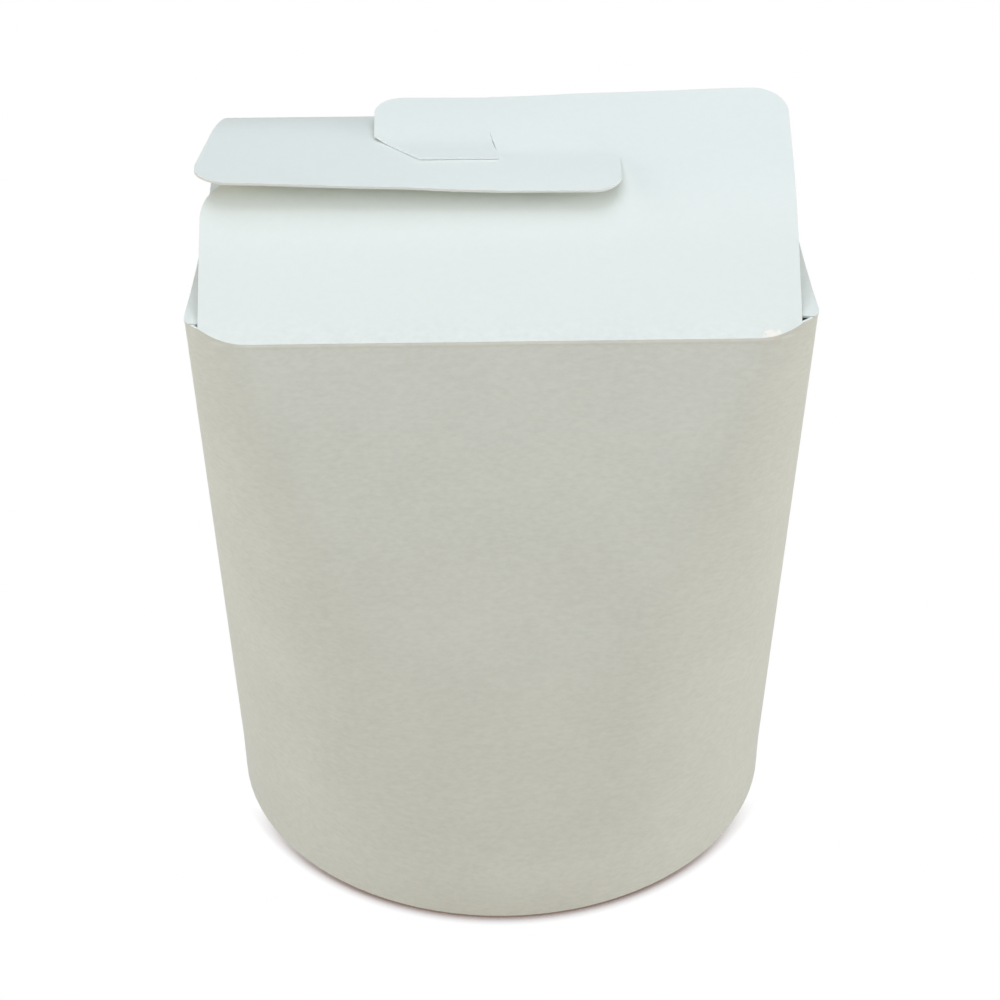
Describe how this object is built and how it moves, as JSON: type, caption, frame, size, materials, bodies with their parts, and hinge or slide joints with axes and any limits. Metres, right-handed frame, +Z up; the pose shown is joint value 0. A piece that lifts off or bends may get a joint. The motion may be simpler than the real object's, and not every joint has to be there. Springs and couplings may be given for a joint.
{
  "type": "takeout food box",
  "caption": "Closed paperboard food box with a round foot, a rectangular mouth and two curved lid flaps locked into each other.",
  "frame": {"origin": "centre of the round foot on the table", "axes": "+Z up through the lid, -Y towards the front, +X to the right"},
  "size_m": [0.1012, 0.0913, 0.1284],
  "materials": {
    "white_board": "satin white food board",
    "base_board": "satin white food board"
  },
  "bodies": {
    "root": {"carton_wrap": "white_board", "base_disc": "base_board"}
  },
  "joints": []
}
